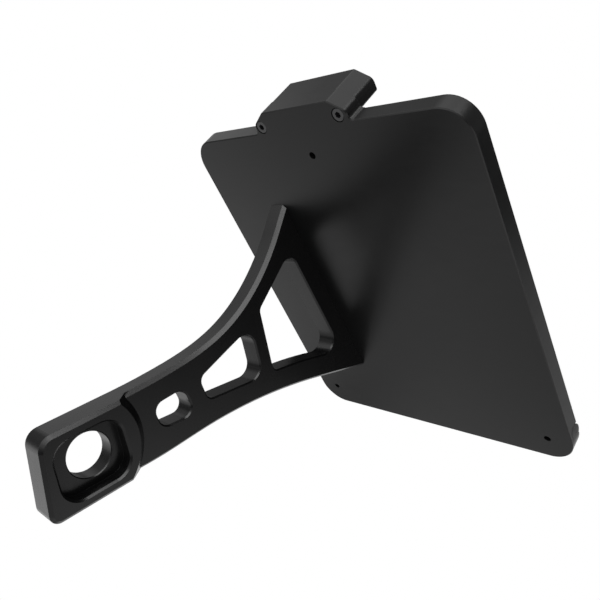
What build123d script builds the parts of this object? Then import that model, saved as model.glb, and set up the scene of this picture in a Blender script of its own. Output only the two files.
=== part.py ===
from build123d import *
import os
from math import atan, cos, degrees, radians, sin, sqrt

# Side mount licence plate holder: a flat plate carrier stands behind the
# wheel, held by one arm that is clamped at the axle.
# Millimetres.  +Z up along the carrier, +Y to the rear (the way the number
# plate faces), +X away from the wheel.  The origin is the centre of the axle
# bore on the arm's inboard face.

# ---------------------------------------------------------------- dimensions
# axle block at the front end of the arm
tilt = 19.0                 # the block's long side falls this many degrees
bore_r = 11.2               # axle bore
block_thick = 17.0          # inboard face to outboard face
block_top = 20.6            # top face, above the bore's centre
block_bottom = -20.9        # bottom face
block_end_top = -22.0       # front end, at the top face (the end is raked)
block_end_bottom = -28.3    # front end, at the bottom face
block_corner_r = 7.5        # upper front corner
block_low_corner_r = 4.8    # lower front corner
block_edge = 1.8            # chamfer of the block's outboard edge
pocket_floor = 9.7          # material left behind the nut pocket
pocket_top, pocket_bottom = 14.8, -15.4
pocket_left_top, pocket_left_bottom = -18.0, -19.3
pocket_right_top, pocket_right_bottom = 16.5, 16.1
pocket_r = 9.5
pocket_edge = 1.0
boss_cx, boss_cz = -3.9, 4.1        # axis of the cone that ends the block
boss_r_out, boss_r_in = 28.9, 43.9  # cone radius outboard and inboard

# arm
arm_thick = 12.0
arm_low_line = -19.3        # lower edge of the arm where it meets the block
arm_top_edge = 2.0          # chamfer along the outboard top edge
arm_low_edge = 1.2          # chamfer along the outboard bottom edge
arm_back_edge = 0.25        # edge break on the inboard side
cut_edge = 0.8              # chamfer round the windows, outboard side

# plate carrier
plate_back = 168.0          # rear end of the arm and back face of the carrier
plate_thick = 10.0
rise = 0.1228               # the rims climb this much per mm of depth
plate_left, plate_right = -43.6, 146.4
plate_low, plate_top = -144.2, 73.4
plate_top_r, plate_low_r = 15.5, 16.0
plate_mid = (plate_left + plate_right) / 2.0
ear_mid = 51.9              # middle of the ear that carries the lamp
ear_half = 32.9             # its half width
ear_side = 78.4             # top of the ear's upright side
ear_flat_half = 23.4        # half width of the ear's flat top
ear_top = 84.5
ear_root_r, ear_corner_r = 2.6, 4.0
plate_edge = 0.5
rim = 4.4                   # width of the rim round the number plate
tray_floor = 4.0            # thickness of the carrier's floor
boss_face = 176.5           # seat of the number plate
seat_boss_r = 7.0
plate_hole_r = 2.0
hole_top_z = 57.9
hole_low_z, hole_low_dx = -128.6, 80.8

# arm screws, M6 countersunk
arm_screw_z = (-80.0, -35.0, 10.0)
arm_screw_x = arm_thick / 2.0
pad_face = 176.0            # thickened floor behind the arm
m6_r, m6_head_r = 3.0, 6.0
arm_screw_tip = 160.0

# lamp
lamp_front = 195.3
lamp_half = 31.9             # the lamp is a little narrower than the ear
lamp_flat_half = 22.9
lamp_low = 71.8             # underside, carried back to the carrier's back face
lamp_edge = 0.7
lamp_screw_dx, lamp_screw_z = 27.6, 76.9
m4_r, m4_head_r, m4_head_h, m4_hex = 2.0, 3.5, 4.0, 3.0
m4_head_back = 168.25       # outer face of the head, just under flush
m4_tip = 184.25
lens_half, lens_half_w, lens_t = 23.5, 5.5, 2.0
seal_t = 0.9
cavity_half, cavity_half_w, cavity_top = 17.0, 4.5, 9.0
board_t, led_h = 1.2, 1.5
lens_screw_dx = 20.2
m25_r, m25_head_r, m25_head_h = 1.25, 2.2, 1.3

# rubber stops in the side rims
stop_z, stop_y, stop_r = -124.3, 174.3, 4.2
stop_proud = 0.5

# ------------------------------------------------------------------- helpers
ct, st = cos(radians(tilt)), sin(radians(tilt))
rise_angle = degrees(atan(rise))
rise_len = sqrt(1.0 + rise * rise)


def blk(a, b):
    """Block frame (along the block, up from it) to (Y, Z)."""
    return (a * ct + b * st, -a * st + b * ct)


def yplane(x, y, z):
    """A plane facing +Y with its local x along +X (local y is -Z)."""
    return Plane(origin=(x, y, z), x_dir=(1, 0, 0), z_dir=(0, 1, 0))


os.makedirs("parts", exist_ok=True)

# ----------------------------------------------------------------------- arm
# outline of the axle block, with rounded front corners
with BuildSketch(Plane.YZ) as block_outline:
    with BuildLine():
        Polyline(
            blk(block_end_bottom, block_bottom),
            blk(block_end_top, block_top),
            blk(46.96, block_top),
            blk(46.96, block_bottom),
            close=True,
        )
    make_face()
    fillet(
        block_outline.vertices().sort_by_distance((*blk(block_end_top, block_top), 0))[0],
        radius=block_corner_r,
    )
    fillet(
        block_outline.vertices().sort_by_distance((*blk(block_end_bottom, block_bottom), 0))[0],
        radius=block_low_corner_r,
    )

# outline of the arm itself: a swan-necked top edge, an almost straight lower
# edge, and a tall foot that stands against the carrier
top_a = blk(23.0, block_top)
start_top = blk(-4.0, block_top)
start_low = blk(-4.0, arm_low_line)
low_a = blk(6.0, arm_low_line)
with BuildSketch(Plane.YZ) as arm_outline:
    with BuildLine():
        Line(start_top, top_a)
        Spline(
            top_a,
            (51.4, 5.0),
            (89.5, -1.5),
            (121.3, 3.6),
            (152.2, 18.6),
            tangents=[(ct, -st), (15.8, 10.5)],
        )
        Line((152.2, 18.6), (plate_back, 29.1))
        Line((plate_back, 29.1), (plate_back, -97.8))
        Line((plate_back, -97.8), (132.9, -75.6))
        Spline(
            (132.9, -75.6),
            (87.4, -50.9),
            (54.0, -38.2),
            (24.0, -29.2),
            low_a,
            tangents=[(-35.1, 22.2), (-ct, st)],
        )
        Line(low_a, start_low)
        Line(start_low, start_top)
    make_face()

# three windows that lighten the arm
with BuildSketch(Plane.YZ) as window_front:
    with BuildLine():
        FilletPolyline(
            (37.0, -4.8), (55.3, -10.0), (53.6, -26.0), (34.9, -17.9),
            radius=5.6, close=True,
        )
    make_face()
with BuildSketch(Plane.YZ) as window_mid:
    with BuildLine():
        Polyline((66.1, -13.1), (108.2, -12.8), (98.6, -42.2), (63.6, -26.2), close=True)
    make_face()
    for corner, r in (
        ((66.1, -13.1, 0), 5.0),
        ((108.2, -12.8, 0), 7.5),
        ((98.6, -42.2, 0), 8.0),
        ((63.6, -26.2, 0), 4.5),
    ):
        fillet(window_mid.vertices().sort_by_distance(corner)[0], radius=r)
with BuildSketch(Plane.YZ) as window_rear:
    with BuildLine():
        Line((106.7, -45.7), (119.1, -9.4))
        Line((119.1, -9.4), (156.2, 4.4))
        Line((156.2, 4.4), (156.2, -75.2))
        ThreePointArc((156.2, -75.2), (131.0, -58.4), (106.7, -45.7))
    make_face()
    for corner, r in (
        ((106.7, -45.7, 0), 4.0),
        ((119.1, -9.4, 0), 5.0),
        ((156.2, 4.4, 0), 6.0),
        ((156.2, -75.2, 0), 9.0),
    ):
        fillet(window_rear.vertices().sort_by_distance(corner)[0], radius=r)

# the block ends in a conical shoulder on the arm's side, and keeps its own
# outline on the other side of the cone's axis
boss_plane = Plane(origin=(0, boss_cx, boss_cz), x_dir=(0, ct, -st), z_dir=(1, 0, 0))
with BuildPart() as shoulder:
    with BuildSketch(boss_plane):
        Circle(boss_r_in)
    with BuildSketch(boss_plane.offset(block_thick)):
        Circle(boss_r_out)
    loft()
    with BuildSketch(boss_plane):
        Rectangle(60, 120, align=(Align.MAX, Align.CENTER))
    extrude(amount=block_thick)

with BuildPart() as block:
    extrude(block_outline.sketch, amount=block_thick)
    chamfer(
        block.faces().sort_by(Axis.X)[-1].outer_wire().edges(),
        length=block_edge,
    )
    add(shoulder.part, mode=Mode.INTERSECT)

with BuildPart() as arm:
    extrude(arm_outline.sketch, amount=arm_thick)
    near = arm.faces().sort_by(Axis.X)[-1]
    top_edge = near.edges().sort_by_distance((arm_thick, 100.0, 0.0))[0]
    low_edge = near.edges().sort_by_distance((arm_thick, 80.0, -48.0))[0]
    chamfer(top_edge, length=arm_top_edge)
    near = arm.faces().sort_by(Axis.X)[-1]
    low_edge = near.edges().sort_by_distance((arm_thick, 80.0, -48.0))[0]
    chamfer(low_edge, length=arm_low_edge)
    add(block.part)
    # inboard edge break, all round but the foot's contact face
    far = arm.faces().sort_by(Axis.X)[0]
    chamfer(
        far.outer_wire().edges().filter_by(
            lambda e: abs(e.center().Y - plate_back) > 0.5
        ),
        length=arm_back_edge,
    )
    # windows
    for window in (window_front, window_mid, window_rear):
        extrude(window.sketch, amount=arm_thick, mode=Mode.SUBTRACT)
    near = arm.faces().filter_by(lambda f: abs(f.center().X - arm_thick) < 1e-3).sort_by(SortBy.AREA)[-1]
    for wire in near.inner_wires():
        chamfer(wire.edges(), length=cut_edge)
        near = arm.faces().filter_by(lambda f: abs(f.center().X - arm_thick) < 1e-3).sort_by(SortBy.AREA)[-1]
    # nut pocket
    with BuildSketch(Plane.YZ.offset(pocket_floor)) as pocket:
        with BuildLine():
            Polyline(
                blk(pocket_left_top, pocket_top),
                blk(pocket_right_top, pocket_top),
                blk(pocket_right_bottom, pocket_bottom),
                blk(pocket_left_bottom, pocket_bottom),
                close=True,
            )
        make_face()
        fillet(pocket.vertices(), radius=pocket_r)
    extrude(amount=block_thick - pocket_floor, mode=Mode.SUBTRACT)
    outer = arm.faces().sort_by(Axis.X)[-1]
    chamfer(outer.inner_wires()[0].edges(), length=pocket_edge)
    # axle bore
    with BuildSketch(Plane.YZ):
        Circle(bore_r)
    extrude(amount=pocket_floor, mode=Mode.SUBTRACT)
    chamfer(
        arm.edges().filter_by(GeomType.CIRCLE).filter_by(
            lambda e: abs(e.radius - bore_r) < 1e-3 and e.center().X > 1.0
        ),
        length=0.5,
    )
    # tapped holes in the foot
    with Locations(*[yplane(arm_screw_x, plate_back, z) for z in arm_screw_z]):
        Hole(radius=m6_r, depth=9.6)
arm.part.label = "arm"
export_step(arm.part, "parts/arm.step")

# ------------------------------------------------------------- plate carrier
back_plane = Plane.XZ.offset(-plate_back)
front = plate_back + plate_thick
lift = plate_thick * rise
floor_y = plate_back + tray_floor
# the ear's own front edge stays sharp, because the lamp is seated on it, so
# the front edge break is made on the rectangular tray before the ear is added
def tray_corners(sketch):
    """Round the four corners of the rectangular tray outline."""
    for corner, r in (
        ((plate_left, plate_low, 0), plate_low_r),
        ((plate_right, plate_low, 0), plate_low_r),
        ((plate_right, plate_top, 0), plate_top_r),
        ((plate_left, plate_top, 0), plate_top_r),
    ):
        fillet(sketch.vertices().sort_by_distance(corner)[0], radius=r)


with BuildSketch(back_plane) as tray_outline:
    with BuildLine():
        Polyline(
            (plate_left, plate_low),
            (plate_right, plate_low),
            (plate_right, plate_top),
            (plate_left, plate_top),
            close=True,
        )
    make_face()
    tray_corners(tray_outline)

# the ear, with its root fillets, reaching down into the tray
ear_base = plate_top - 3.0
root_half = ear_half + ear_root_r
with BuildSketch(back_plane) as ear_outline:
    with BuildLine():
        Polyline(
            (ear_mid - root_half, ear_base),
            (ear_mid + root_half, ear_base),
            (ear_mid + root_half, plate_top),
            (ear_mid + ear_half, plate_top),
            (ear_mid + ear_half, ear_side),
            (ear_mid + ear_flat_half, ear_top),
            (ear_mid - ear_flat_half, ear_top),
            (ear_mid - ear_half, ear_side),
            (ear_mid - ear_half, plate_top),
            (ear_mid - root_half, plate_top),
            close=True,
        )
    make_face()
    for corner, r in (
        ((ear_mid + ear_half, plate_top, 0), ear_root_r - 0.01),
        ((ear_mid - ear_half, plate_top, 0), ear_root_r - 0.01),
        ((ear_mid + ear_half, ear_side, 0), ear_corner_r),
        ((ear_mid - ear_half, ear_side, 0), ear_corner_r),
        ((ear_mid + ear_flat_half, ear_top, 0), 2.0),
        ((ear_mid - ear_flat_half, ear_top, 0), 2.0),
    ):
        fillet(ear_outline.vertices().sort_by_distance(corner)[0], radius=r)
with BuildPart() as ear:
    extrude(ear_outline.sketch, amount=plate_thick * rise_len, dir=(0, 1, rise))
    back_face = ear.faces().sort_by(Axis.Y)[0]
    chamfer(
        back_face.outer_wire().edges().filter_by(lambda e: e.center().Z > plate_top - 1e-3),
        length=plate_edge,
    )

with BuildPart() as base_plate:
    extrude(tray_outline.sketch, amount=plate_thick * rise_len, dir=(0, 1, rise))
    # edge break round the back face, and round the front face
    chamfer(base_plate.faces().sort_by(Axis.Y)[0].outer_wire().edges(), length=plate_edge)
    chamfer(base_plate.faces().sort_by(Axis.Y)[-1].outer_wire().edges(), length=plate_edge)
    add(ear.part)
    # tray for the number plate, open to the rear
    with BuildSketch(Plane.XZ.offset(-floor_y)) as tray:
        with BuildLine():
            Polyline(
                (plate_left + rim, plate_low + lift + rim),
                (plate_right - rim, plate_low + lift + rim),
                (plate_right - rim, plate_top + lift - rim),
                (plate_left + rim, plate_top + lift - rim),
                close=True,
            )
        make_face()
        fillet(tray.vertices().group_by(Axis.Y)[0], radius=plate_low_r - rim)
        fillet(tray.vertices().group_by(Axis.Y)[-1], radius=plate_top_r - rim)
    extrude(amount=-(front - floor_y), mode=Mode.SUBTRACT)
    # seat bosses and the thick pad behind the arm's foot
    with BuildSketch(Plane.XZ.offset(-(floor_y - 0.5))) as seats:
        with Locations(
            (plate_mid, hole_top_z),
            (plate_mid - hole_low_dx, hole_low_z),
            (plate_mid + hole_low_dx, hole_low_z),
        ):
            Circle(seat_boss_r)
    extrude(amount=-(boss_face - floor_y + 0.5))
    with BuildSketch(Plane.XZ.offset(-(floor_y - 0.5))):
        with Locations((arm_screw_x, -35.0)):
            RectangleRounded(24.0, 124.0, 6.0)
    extrude(amount=-(pad_face - floor_y + 0.5))
    # holes for the number plate's screws
    with Locations(
        yplane(plate_mid, boss_face, hole_top_z),
        yplane(plate_mid - hole_low_dx, boss_face, hole_low_z),
        yplane(plate_mid + hole_low_dx, boss_face, hole_low_z),
    ):
        Hole(radius=plate_hole_r, depth=boss_face - plate_back)
    # countersunk holes for the arm's screws
    with Locations(*[yplane(arm_screw_x, pad_face, z) for z in arm_screw_z]):
        CounterSinkHole(
            radius=3.3, counter_sink_radius=m6_head_r + 0.54,
            depth=pad_face - plate_back, counter_sink_angle=90,
        )
    # counterbored holes for the lamp's screws, from the back
    with Locations(
        *[
            Plane(origin=(plate_mid + s * lamp_screw_dx, plate_back, lamp_screw_z), x_dir=(1, 0, 0), z_dir=(0, -1, 0))
            for s in (-1, 1)
        ]
    ):
        CounterBoreHole(
            radius=2.2, counter_bore_radius=m4_head_r + 0.12,
            counter_bore_depth=m4_head_back + m4_head_h - plate_back, depth=plate_thick,
        )
    # a round-ended notch through each side rim for its rubber stop
    for s in (-1, 1):
        with BuildSketch(Plane.YZ.offset(plate_mid + s * (plate_right - plate_mid + 1.0))):
            with Locations((stop_y, stop_z)):
                Circle(stop_r)
                Rectangle(front - stop_y + 1.0, 2 * stop_r, align=(Align.MIN, Align.CENTER))
        extrude(amount=-s * (rim + 1.0), mode=Mode.SUBTRACT)
base_plate.part.label = "base_plate"
export_step(base_plate.part, "parts/base_plate.step")

# -------------------------------------------------------------- lamp housing
# the ear's outline carried on to the rear, over the number plate
with BuildSketch(Plane.XZ.offset(-front)) as lamp_outline:
    with BuildLine():
        Polyline(
            (ear_mid - lamp_half, lamp_low + lift),
            (ear_mid + lamp_half, lamp_low + lift),
            (ear_mid + lamp_half, ear_side + lift),
            (ear_mid + lamp_flat_half, ear_top + lift),
            (ear_mid - lamp_flat_half, ear_top + lift),
            (ear_mid - lamp_half, ear_side + lift),
            close=True,
        )
    make_face()
    for corner, r in (
        ((ear_mid + lamp_half, ear_side + lift, 0), ear_corner_r),
        ((ear_mid - lamp_half, ear_side + lift, 0), ear_corner_r),
        ((ear_mid + lamp_flat_half, ear_top + lift, 0), 2.0),
        ((ear_mid - lamp_flat_half, ear_top + lift, 0), 2.0),
        ((ear_mid + lamp_half, lamp_low + lift, 0), 1.5),
        ((ear_mid - lamp_half, lamp_low + lift, 0), 1.5),
    ):
        fillet(lamp_outline.vertices().sort_by_distance(corner)[0], radius=r)

# frame of the lamp's underside: x along the lamp, z straight down out of it
lamp_mid_y = (front + lamp_front) / 2.0
cr, sr = 1.0 / rise_len, rise / rise_len
under = Plane(
    origin=(plate_mid, lamp_mid_y, lamp_low + (lamp_mid_y - plate_back) * rise),
    x_dir=(1, 0, 0),
    z_dir=(0, sr, -cr),
)


def lamp_point(u, v, w):
    """Along the lamp, out to the rear along its underside, up into it."""
    return (
        plate_mid + u,
        lamp_mid_y + v * cr - w * sr,
        lamp_low + (lamp_mid_y - plate_back) * rise + v * sr + w * cr,
    )


cable_in = Vector(*lamp_point(-cavity_half + 1.5, 3.0, 6.2))
cable_out = Vector(ear_mid - lamp_half, lamp_mid_y + 2.8, lamp_low + (lamp_mid_y + 2.8 - plate_back) * rise + 3.6)
cable_dir = (cable_out - cable_in).normalized()
cable_plane = Plane(origin=tuple(cable_in), x_dir=(0, 1, 0), z_dir=tuple(cable_dir))
grommet_plane = Plane(origin=tuple(cable_out), x_dir=(0, 1, 0), z_dir=(-1, 0, 0))

with BuildPart() as lamp_housing:
    extrude(lamp_outline.sketch, amount=(lamp_front - front) * rise_len, dir=(0, 1, rise))
    chamfer(lamp_housing.faces().sort_by(Axis.Y)[-1].outer_wire().edges(), length=lamp_edge)
    # rebate for the lens and its seal, and the cavity above it
    with BuildSketch(under):
        RectangleRounded(2 * lens_half, 2 * lens_half_w, 2.0)
    extrude(amount=-(lens_t + seal_t), mode=Mode.SUBTRACT)
    with BuildSketch(under):
        RectangleRounded(2 * cavity_half, 2 * cavity_half_w, 1.5)
    extrude(amount=-cavity_top, mode=Mode.SUBTRACT)
    # tapped holes for the lens screws
    with Locations(
        *[
            Plane(origin=lamp_point(s * lens_screw_dx, 0, lens_t + seal_t), x_dir=(1, 0, 0), z_dir=(0, sr, -cr))
            for s in (-1, 1)
        ]
    ):
        Hole(radius=m25_r, depth=4.6)
    # tapped holes for the lamp screws, from the ear's side
    with Locations(
        *[
            Plane(origin=(plate_mid + s * lamp_screw_dx, front, lamp_screw_z), x_dir=(1, 0, 0), z_dir=(0, -1, 0))
            for s in (-1, 1)
        ]
    ):
        Hole(radius=m4_r, depth=7.4)
    # cable way from the cavity to the side, and the seat of its grommet
    with BuildSketch(cable_plane):
        Circle(1.5)
    extrude(amount=(cable_out - cable_in).length - 1.0, mode=Mode.SUBTRACT)
    with BuildSketch(grommet_plane.offset(-3.0)):
        Circle(2.5)
    extrude(amount=3.5, mode=Mode.SUBTRACT)
lamp_housing.part.label = "lamp_housing"
export_step(lamp_housing.part, "parts/lamp_housing.step")

# ------------------------------------------------------------ lamp internals
with BuildPart() as lens_seal:
    with BuildSketch(under.offset(-lens_t)):
        RectangleRounded(2 * lens_half, 2 * lens_half_w, 2.0)
        RectangleRounded(2 * cavity_half, 2 * cavity_half_w, 1.5, mode=Mode.SUBTRACT)
        with Locations((-lens_screw_dx, 0), (lens_screw_dx, 0)):
            Circle(m25_r + 0.15, mode=Mode.SUBTRACT)
    extrude(amount=-seal_t)
lens_seal.part.label = "lens_seal"
export_step(lens_seal.part, "parts/lens_seal.step")

with BuildPart() as lamp_lens:
    with BuildSketch(under):
        RectangleRounded(2 * lens_half - 0.3, 2 * lens_half_w - 0.3, 1.85)
        with Locations((-lens_screw_dx, 0), (lens_screw_dx, 0)):
            Circle(m25_r + 0.15, mode=Mode.SUBTRACT)
    extrude(amount=-lens_t)
    chamfer(
        lamp_lens.faces().sort_by(Axis.Z)[0].outer_wire().edges(),
        length=0.3,
    )
lamp_lens.part.label = "lamp_lens"
export_step(lamp_lens.part, "parts/lamp_lens.step")

with BuildPart() as led_board:
    with BuildSketch(under.offset(-(cavity_top - board_t))):
        RectangleRounded(2 * cavity_half - 0.6, 2 * cavity_half_w - 0.6, 1.2)
    extrude(amount=-board_t)
led_board.part.label = "led_board"
export_step(led_board.part, "parts/led_board.step")

with BuildPart() as leds:
    with BuildSketch(under.offset(-(cavity_top - board_t))):
        with GridLocations(10.5, 1, 3, 1):
            RectangleRounded(5.0, 5.0, 0.4)
    extrude(amount=led_h)
    with BuildSketch(under.offset(-(cavity_top - board_t - led_h))):
        with GridLocations(10.5, 1, 3, 1):
            Circle(1.9)
    extrude(amount=-0.5, mode=Mode.SUBTRACT)
leds.part.label = "leds"
export_step(leds.part, "parts/leds.step")

with BuildPart() as lens_screws:
    for s in (-1, 1):
        seat = Plane(origin=lamp_point(s * lens_screw_dx, 0, 0), x_dir=(1, 0, 0), z_dir=(0, sr, -cr))
        with BuildSketch(seat):
            Circle(m25_head_r)
        extrude(amount=m25_head_h)
        with BuildSketch(seat):
            Circle(m25_r - 0.05)
        extrude(amount=-7.0)
        with BuildSketch(seat.offset(m25_head_h - 0.7)):
            RegularPolygon(radius=0.75, side_count=6, major_radius=False)
        extrude(amount=0.7, mode=Mode.SUBTRACT)
    heads = lens_screws.edges().filter_by(GeomType.CIRCLE).filter_by(
        lambda e: abs(e.radius - m25_head_r) < 1e-3
    )
    chamfer(
        [e for e in heads if e.center().Z < under.origin.Z - 0.6],
        length=0.35,
    )
lens_screws.part.label = "lens_screws"
export_step(lens_screws.part, "parts/lens_screws.step")

with BuildPart() as cable_grommet:
    with BuildSketch(grommet_plane.offset(-3.0)):
        Circle(2.5)
    extrude(amount=3.0)
    with BuildSketch(grommet_plane):
        Circle(3.0)
    extrude(amount=1.2)
    chamfer(cable_grommet.faces().sort_by(Axis.X)[0].outer_wire().edges(), length=0.4)
    with BuildSketch(grommet_plane.offset(-3.0)):
        Circle(1.3)
    extrude(amount=4.2, mode=Mode.SUBTRACT)
cable_grommet.part.label = "cable_grommet"
export_step(cable_grommet.part, "parts/cable_grommet.step")

# ------------------------------------------------------------------ fasteners
with BuildPart() as lamp_screws:
    for s in (-1, 1):
        head = Plane(
            origin=(plate_mid + s * lamp_screw_dx, m4_head_back, lamp_screw_z),
            x_dir=(0, 0, 1), z_dir=(0, 1, 0),
        )
        with BuildSketch(head):
            Circle(m4_head_r)
        extrude(amount=m4_head_h)
        with BuildSketch(head):
            Circle(m4_r - 0.05)
        extrude(amount=m4_tip - m4_head_back)
        with BuildSketch(head):
            RegularPolygon(radius=m4_hex / 2, side_count=6, major_radius=False)
        extrude(amount=2.0, mode=Mode.SUBTRACT)
    rims = lamp_screws.edges().filter_by(GeomType.CIRCLE).filter_by(
        lambda e: abs(e.radius - m4_head_r) < 1e-3 and abs(e.center().Y - m4_head_back) < 1e-3
    )
    chamfer(rims, length=0.35)
lamp_screws.part.label = "lamp_screws"
export_step(lamp_screws.part, "parts/lamp_screws.step")

with BuildPart() as arm_screws:
    for z in arm_screw_z:
        head_y = pad_face - 0.2
        # revolved section: flat top, 90 degree cone, plain shank with a point
        with BuildSketch(Plane(origin=(arm_screw_x, head_y, z), x_dir=(1, 0, 0), z_dir=(0, 0, 1))) as screw:
            with BuildLine():
                Polyline(
                    (0, 0), (m6_head_r, 0), (m6_head_r, -0.3),
                    (m6_r - 0.05, -(m6_head_r - m6_r + 0.35)),
                    (m6_r - 0.05, -(head_y - arm_screw_tip) + 0.6),
                    (m6_r - 0.65, -(head_y - arm_screw_tip)),
                    (0, -(head_y - arm_screw_tip)),
                    close=True,
                )
            make_face()
        revolve(axis=Axis((arm_screw_x, 0, z), (0, 1, 0)))
        with BuildSketch(yplane(arm_screw_x, head_y, z)):
            RegularPolygon(radius=2.0, side_count=6, major_radius=False)
        extrude(amount=-2.2, mode=Mode.SUBTRACT)
arm_screws.part.label = "arm_screws"
export_step(arm_screws.part, "parts/arm_screws.step")

# --------------------------------------------------------------- rubber stops
dome_r = (stop_r ** 2 + (stop_proud - 0.1) ** 2) / (2 * (stop_proud - 0.1))
with BuildPart() as rim_bumpers:
    for s in (-1, 1):
        side = plate_mid + s * (plate_right - plate_mid)
        # local x is +Y, local y points out of the rim
        with BuildSketch(Plane(origin=(side, stop_y, stop_z), x_dir=(0, 1, 0), z_dir=(0, 0, -s))) as button:
            with BuildLine():
                Line((0, stop_proud), (0, -rim))
                Line((0, -rim), (stop_r, -rim))
                Line((stop_r, -rim), (stop_r, 0.1))
                half = radians(0.5 * degrees(atan(stop_r / (dome_r - stop_proud + 0.1))))
                ThreePointArc(
                    (stop_r, 0.1),
                    (dome_r * sin(half), stop_proud - dome_r * (1 - cos(half))),
                    (0, stop_proud),
                )
            make_face()
        revolve(axis=Axis((side, stop_y, stop_z), (1, 0, 0)))
rim_bumpers.part.label = "rim_bumpers"
export_step(rim_bumpers.part, "parts/rim_bumpers.step")
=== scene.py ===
import bpy
from mathutils import Matrix, Vector

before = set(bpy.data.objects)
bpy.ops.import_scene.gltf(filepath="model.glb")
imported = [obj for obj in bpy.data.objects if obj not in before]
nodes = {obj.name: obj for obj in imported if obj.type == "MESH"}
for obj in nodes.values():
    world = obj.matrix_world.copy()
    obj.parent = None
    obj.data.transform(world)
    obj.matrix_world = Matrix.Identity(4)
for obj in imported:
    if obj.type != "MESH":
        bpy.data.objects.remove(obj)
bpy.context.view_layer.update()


# ------------------------------------------------------------------ materials
def new_material(name):
    mat = bpy.data.materials.new(name)
    mat.use_nodes = True
    tree = mat.node_tree
    shader = tree.nodes["Principled BSDF"]
    return mat, tree, shader


def add(tree, kind, **values):
    node = tree.nodes.new(kind)
    for key, value in values.items():
        if key in node.inputs:
            node.inputs[key].default_value = value
        else:
            setattr(node, key, value)
    return node


def link(tree, a, out, b, inp):
    tree.links.new(a.outputs[out], b.inputs[inp])


def mapped(tree, scale, rotation=(0, 0, 0)):
    """Object coordinates, stretched so that the grain runs along one way."""
    coord = add(tree, "ShaderNodeTexCoord")
    mapping = add(tree, "ShaderNodeMapping")
    mapping.inputs["Scale"].default_value = scale
    mapping.inputs["Rotation"].default_value = rotation
    link(tree, coord, "Object", mapping, "Vector")
    return mapping


def noise(tree, source, scale, detail=2.0, rough=0.5):
    node = add(tree, "ShaderNodeTexNoise")
    node.inputs["Scale"].default_value = scale
    node.inputs["Detail"].default_value = detail
    node.inputs["Roughness"].default_value = rough
    link(tree, source, "Vector", node, "Vector")
    return node


def spread(tree, source, out, low, high, from_low=0.0, from_high=1.0):
    node = add(tree, "ShaderNodeMapRange")
    node.inputs["From Min"].default_value = from_low
    node.inputs["From Max"].default_value = from_high
    node.inputs["To Min"].default_value = low
    node.inputs["To Max"].default_value = high
    link(tree, source, out, node, "Value")
    return node


def two_tone(tree, source, out, dark, light):
    node = add(tree, "ShaderNodeMix", data_type="RGBA")
    node.inputs[6].default_value = (*dark, 1)
    node.inputs[7].default_value = (*light, 1)
    tree.links.new(source.outputs[out], node.inputs[0])
    return node


def anodised(name, grain, rotation, base=0.0014, rough=(0.27, 0.34)):
    """Black anodised aluminium: dyed oxide over a milled and blasted skin."""
    mat, tree, shader = new_material(name)
    grainy = noise(tree, mapped(tree, grain, rotation), 1.0, 3.0, 0.6)
    cloudy = noise(tree, mapped(tree, (1, 1, 1)), 34.0, 3.0, 0.55)
    fine = noise(tree, mapped(tree, (1, 1, 1)), 2600.0, 2.0, 0.6)

    colour = two_tone(tree, cloudy, "Fac", (base * 0.86,) * 2 + (base * 0.88,), (base * 1.18,) * 2 + (base * 1.22,))
    mixed = add(tree, "ShaderNodeMath", operation="MULTIPLY_ADD")
    link(tree, grainy, "Fac", mixed, 0)
    mixed.inputs[1].default_value = 0.6
    shifted = add(tree, "ShaderNodeMath", operation="MULTIPLY")
    link(tree, cloudy, "Fac", shifted, 0)
    shifted.inputs[1].default_value = 0.4
    link(tree, shifted, "Value", mixed, 2)
    roughness = spread(tree, mixed, "Value", rough[0], rough[1], 0.3, 0.7)
    link(tree, roughness, "Result", shader, "Roughness")

    # edges: slightly rounded, and worn a shade lighter
    bevel = add(tree, "ShaderNodeBevel", samples=6)
    bevel.inputs["Radius"].default_value = 0.00012
    geometry = add(tree, "ShaderNodeNewGeometry")
    turn = add(tree, "ShaderNodeVectorMath", operation="DOT_PRODUCT")
    link(tree, bevel, "Normal", turn, 0)
    link(tree, geometry, "Normal", turn, 1)
    edge = spread(tree, turn, "Value", 1.0, 0.0, 0.80, 0.995)
    wear = add(tree, "ShaderNodeMath", operation="MULTIPLY")
    link(tree, edge, "Result", wear, 0)
    link(tree, cloudy, "Fac", wear, 1)
    worn = add(tree, "ShaderNodeMix", data_type="RGBA")
    tree.links.new(wear.outputs[0], worn.inputs[0])
    tree.links.new(colour.outputs[2], worn.inputs[6])
    worn.inputs[7].default_value = (base * 3.2, base * 3.2, base * 3.3, 1)
    tree.links.new(worn.outputs[2], shader.inputs["Base Color"])

    bump_fine = add(tree, "ShaderNodeBump")
    bump_fine.inputs["Strength"].default_value = 0.10
    bump_fine.inputs["Distance"].default_value = 0.00004
    link(tree, fine, "Fac", bump_fine, "Height")
    link(tree, bevel, "Normal", bump_fine, "Normal")
    bump = add(tree, "ShaderNodeBump")
    bump.inputs["Strength"].default_value = 0.12
    bump.inputs["Distance"].default_value = 0.00004
    link(tree, grainy, "Fac", bump, "Height")
    link(tree, bump_fine, "Normal", bump, "Normal")
    link(tree, bump, "Normal", shader, "Normal")
    shader.inputs["Metallic"].default_value = 0.0
    shader.inputs["Specular IOR Level"].default_value = 0.14
    return mat


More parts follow.
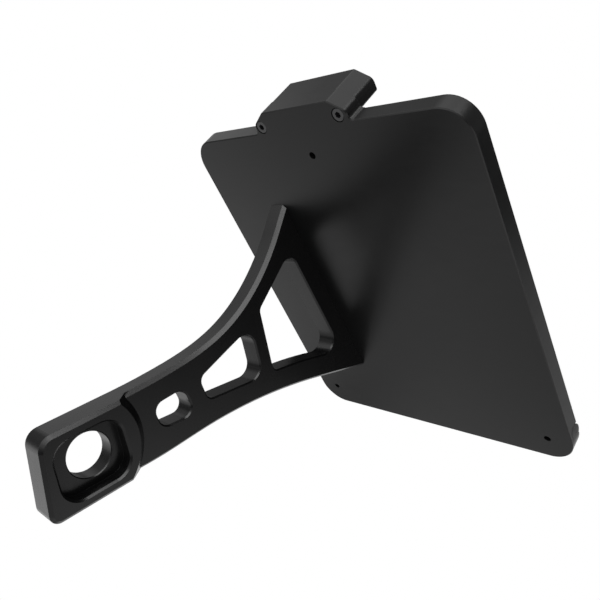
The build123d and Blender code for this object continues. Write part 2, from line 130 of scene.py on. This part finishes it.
def plain(name, dark, light, rough, scale, metallic=0.0, specular=0.5, bump=0.15, distance=0.00005):
    """A material whose colour, gloss and surface all wander a little."""
    mat, tree, shader = new_material(name)
    cloudy = noise(tree, mapped(tree, (1, 1, 1)), scale, 3.0, 0.55)
    fine = noise(tree, mapped(tree, (1, 1, 1)), scale * 9.0, 2.0, 0.6)
    colour = two_tone(tree, cloudy, "Fac", dark, light)
    tree.links.new(colour.outputs[2], shader.inputs["Base Color"])
    roughness = spread(tree, cloudy, "Fac", rough[0], rough[1], 0.3, 0.7)
    link(tree, roughness, "Result", shader, "Roughness")
    lumps = add(tree, "ShaderNodeBump")
    lumps.inputs["Strength"].default_value = bump
    lumps.inputs["Distance"].default_value = distance
    link(tree, fine, "Fac", lumps, "Height")
    link(tree, lumps, "Normal", shader, "Normal")
    shader.inputs["Metallic"].default_value = metallic
    shader.inputs["Specular IOR Level"].default_value = specular
    return mat


arm_mat = anodised("anodised_arm", (420, 60, 60), (0, 0, 0), rough=(0.23, 0.29))
plate_mat = anodised("anodised_plate", (60, 60, 420), (0, 0, 0), rough=(0.28, 0.35))
lamp_mat = anodised("anodised_lamp", (60, 60, 420), (0, 0, 0))
screw_black = plain(
    "black_oxide_steel", (0.004, 0.004, 0.0043), (0.008, 0.008, 0.0085),
    (0.26, 0.38), 900.0, specular=0.32,
)
screw_bright = plain(
    "stainless_steel", (0.46, 0.46, 0.47), (0.60, 0.60, 0.61),
    (0.22, 0.34), 1200.0, metallic=1.0, specular=0.5,
)
rubber = plain(
    "black_rubber", (0.008, 0.008, 0.008), (0.014, 0.014, 0.014),
    (0.55, 0.72), 700.0, specular=0.3, bump=0.3, distance=0.0001,
)
board = plain(
    "white_solder_mask", (0.72, 0.73, 0.71), (0.82, 0.83, 0.81),
    (0.35, 0.45), 500.0,
)
led = plain(
    "led_body", (0.86, 0.80, 0.50), (0.93, 0.89, 0.66),
    (0.25, 0.35), 900.0,
)
lens = plain(
    "clear_polycarbonate", (0.90, 0.91, 0.92), (0.95, 0.96, 0.97),
    (0.05, 0.09), 160.0, bump=0.04,
)
lens_shader = lens.node_tree.nodes["Principled BSDF"]
lens_shader.inputs["Transmission Weight"].default_value = 0.9
lens_shader.inputs["IOR"].default_value = 1.58

finish = {
    "arm": arm_mat,
    "base_plate": plate_mat,
    "lamp_housing": lamp_mat,
    "lamp_lens": lens,
    "lens_seal": rubber,
    "led_board": board,
    "leds": led,
    "lens_screws": screw_bright,
    "cable_grommet": rubber,
    "lamp_screws": screw_black,
    "arm_screws": screw_black,
    "rim_bumpers": rubber,
}
for name, mat in finish.items():
    obj = nodes[name]
    if not obj.material_slots:
        obj.data.materials.append(mat)
    for slot in obj.material_slots:
        slot.material = mat

# ----------------------------------------------------------------------- stage
def glow(name, value):
    """Plain white card, evenly lit."""
    mat = bpy.data.materials.new(name)
    mat.use_nodes = True
    shader = mat.node_tree.nodes["Principled BSDF"]
    shader.inputs["Base Color"].default_value = (0.0, 0.0, 0.0, 1)
    shader.inputs["Specular IOR Level"].default_value = 0.0
    shader.inputs["Emission Color"].default_value = (1.0, 1.0, 1.0, 1)
    shader.inputs["Emission Strength"].default_value = value
    return mat


def backdrop(obj, name):
    """Seen as the background, but neither lights nor shades the object."""
    obj.name = name
    obj.data.materials.append(glow(name, 1.0))
    obj.visible_diffuse = False
    obj.visible_glossy = False
    obj.visible_transmission = False
    obj.visible_shadow = False


bpy.ops.mesh.primitive_plane_add(size=12.0, location=(0, 0, -1.2))
backdrop(bpy.context.object, "floor")
bpy.ops.mesh.primitive_uv_sphere_add(segments=48, ring_count=24, radius=7.0, location=(0, 0, 0))
backdrop(bpy.context.object, "backdrop")

# the studio round the object: dim walls, a bright wall in front of the axle
# block with a dark stand and a low dark cabinet before it, a second bright
# wall to the right of the camera, a strip light to the left, a wide bright
# ceiling, and a weak fill from behind, below and high in front
world = bpy.data.worlds.new("studio")
bpy.context.scene.world = world
world.use_nodes = True
sky = world.node_tree
look = add(sky, "ShaderNodeTexCoord")
parts = add(sky, "ShaderNodeSeparateXYZ")
link(sky, look, "Generated", parts, "Vector")


def ramp(out, start, end, low=0.0, high=1.0):
    """Smooth step along one axis of the direction, from low to high."""
    if start > end:
        start, end, low, high = end, start, high, low
    node = spread(sky, parts, out, low, high, start, end)
    node.interpolation_type = "SMOOTHSTEP"
    return node.outputs["Result"]


def combine(kind, *values):
    result = values[0]
    for value in values[1:]:
        node = add(sky, "ShaderNodeMath", operation=kind)
        for k, item in enumerate((result, value)):
            if isinstance(item, float):
                node.inputs[k].default_value = item
            else:
                sky.links.new(item, node.inputs[k])
        result = node.outputs[0]
    return result


def times(*values):
    return combine("MULTIPLY", *values)


def plus(*values):
    return combine("ADD", *values)


stand = times(ramp("X", -0.765, -0.715), ramp("X", -0.655, -0.685), ramp("Z", -0.56, -0.47, 0.0, -0.42))
shade = times(ramp("X", -0.70, -0.76), ramp("Z", -0.36, -0.24, 0.0, -0.26))
bright = times(ramp("X", -0.665, -0.58), ramp("Z", -0.64, -0.50, 0.0, 0.36))
front_wall = times(
    ramp("Y", -0.05, -0.40, 0.0, 1.30), ramp("Z", 0.22, 0.02), ramp("Z", -0.50, -0.80, 1.0, 0.45),
    plus(stand, shade, bright, 1.0),
)
cabinet = times(
    plus(1.0, times(
        ramp("X", -0.75, -0.70), ramp("X", -0.60, -0.64), ramp("Y", 0.0, -0.2), ramp("Z", -0.54, -0.60, 0.0, -1.0),
    )),
    plus(1.0, times(
        ramp("X", -0.665, -0.635), ramp("X", -0.59, -0.62), ramp("Y", 0.0, -0.2), ramp("Z", -0.49, -0.54, 0.0, -0.8),
    )),
)
right_wall = times(
    ramp("X", 0.45, 0.75, 0.0, 2.8), ramp("Y", 0.40, 0.06), ramp("Z", 0.3, 0.0), ramp("Z", -0.42, -0.55, 0.25, 1.0),
)
strip = times(
    ramp("X", -0.50, -0.75, 0.0, 0.62), ramp("Y", 0.12, 0.40), ramp("Y", 0.60, 0.50),
    ramp("Z", 0.75, 0.55), ramp("Z", -0.1, 0.1),
)
ceiling = times(ramp("Z", 0.50, 0.85, 0.0, 3.6), ramp("Y", 0.62, 0.50, 0.80, 1.0))
rear = times(ramp("Y", 0.58, 0.68), ramp("X", 0.4, 0.6), ramp("Z", -0.31, -0.22, 0.0, 0.5))
ground = times(ramp("Z", -0.48, -0.60, 0.0, 0.8), ramp("Y", -0.1, 0.2))
left = ramp("X", 0.3, -0.5, 0.03, 0.24)
fill = plus(
    ramp("Y", 0.84, 0.93, 0.0, 1.1), ramp("Z", -0.76, -0.95, 0.0, 0.9),
    times(ramp("Y", -0.40, -0.60), ramp("Z", 0.26, 0.42, 0.0, 0.9)),
)
room = times(plus(front_wall, right_wall, strip, ceiling, rear, ground, left, fill), cabinet)
sky.links.new(room, sky.nodes["Background"].inputs["Strength"])
sky.nodes["Background"].inputs["Color"].default_value = (1.0, 1.0, 1.0, 1)


def softbox(name, place, aim, size, power):
    data = bpy.data.lights.new(name, "AREA")
    data.shape = "RECTANGLE"
    data.size, data.size_y = size
    data.energy = power
    obj = bpy.data.objects.new(name, data)
    bpy.context.scene.collection.objects.link(obj)
    obj.location = place
    direction = Vector(aim) - Vector(place)
    obj.rotation_euler = direction.to_track_quat("-Z", "Y").to_euler()
    return obj


# right of the object and above: lights the chamfered upper edges
softbox("edge_light", (1.08, 0.36, 1.40), (0.0, 0.05, 0.0), (1.7, 0.62), 36.0)

# ---------------------------------------------------------------------- camera
camera_data = bpy.data.cameras.new("camera")
camera_data.sensor_fit = "HORIZONTAL"
camera_data.sensor_width = 36.0
camera_data.lens = 38.864
camera_data.clip_start = 0.01
camera_data.clip_end = 50.0
camera = bpy.data.objects.new("camera", camera_data)
bpy.context.scene.collection.objects.link(camera)
right = Vector((0.6856, 0.60092, -0.4109)).normalized()
back = Vector((0.72269, -0.49392, 0.48349)).normalized()
up = back.cross(right).normalized()
camera.matrix_world = Matrix((
    (right.x, up.x, back.x, 0.292401),
    (right.y, up.y, back.y, -0.045402),
    (right.z, up.z, back.z, 0.163386),
    (0, 0, 0, 1),
))
bpy.context.scene.camera = camera
bpy.context.scene.view_settings.view_transform = "Standard"
